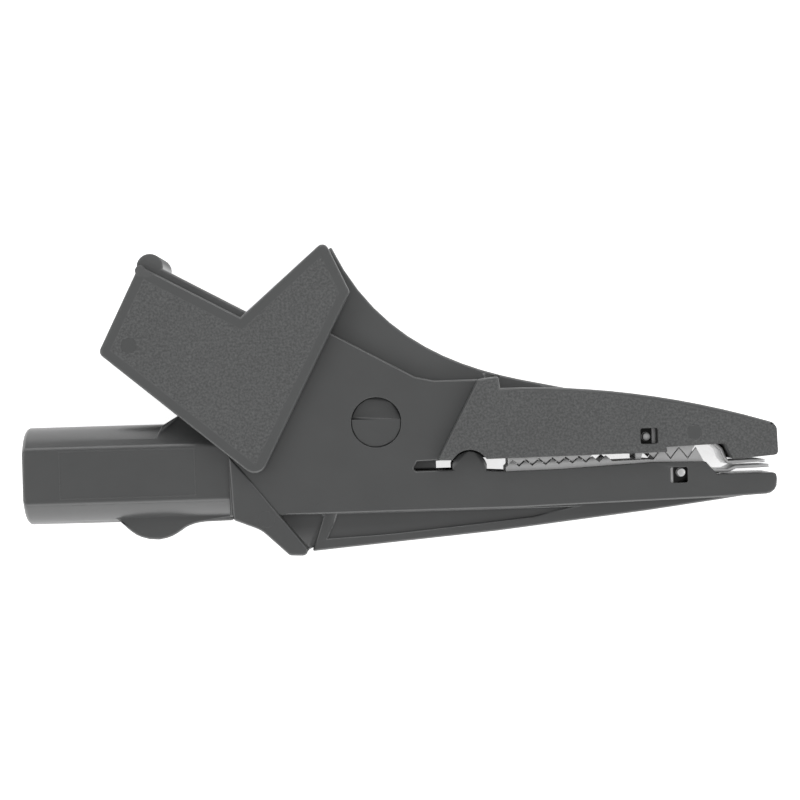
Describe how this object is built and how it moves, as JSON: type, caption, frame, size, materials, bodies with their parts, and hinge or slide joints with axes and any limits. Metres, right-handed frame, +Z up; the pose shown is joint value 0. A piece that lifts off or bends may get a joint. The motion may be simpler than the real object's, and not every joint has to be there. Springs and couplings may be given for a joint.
{
  "type": "insulated crocodile clip",
  "caption": "Fully insulated crocodile clip with sprung jaws, toothed steel inserts and a 4 mm socket in its tube-shaped tail.",
  "frame": {"origin": "middle of the outline, on the surface that the clip lies on", "axes": "+X from the socket to the jaw tips, +Y towards the thumb lever, +Z up along the hinge; the clip lies on its side"},
  "size_m": [0.0924, 0.038, 0.0146],
  "materials": {
    "smooth_plastic": "smooth moulded polyamide, dark grey",
    "textured_plastic": "spark-eroded moulded polyamide with smooth borders, dark grey",
    "plated_steel": "nickel-plated sheet steel, satin",
    "plated_brass": "nickel-plated turned brass",
    "spring_wire": "bright spring wire"
  },
  "bodies": {
    "body": {"handle_body": "smooth_plastic", "lower_jaw_insert": "plated_steel", "socket_contact": "plated_brass", "torsion_spring": "spring_wire"},
    "lever": {"thumb_lever": "textured_plastic", "upper_jaw_insert": "plated_steel"}
  },
  "joints": [
    {"name": "jaw_hinge", "type": "hinge", "parent": "body", "child": "lever", "pos_m": [-0.00262, -0.00291, 0.0073], "axis": [0, 0, 1], "range_deg": [0, 30], "stiffness_Nm_per_rad": 0.3, "springref_deg": -28.65, "deforming": ["torsion_spring"]}
  ]
}
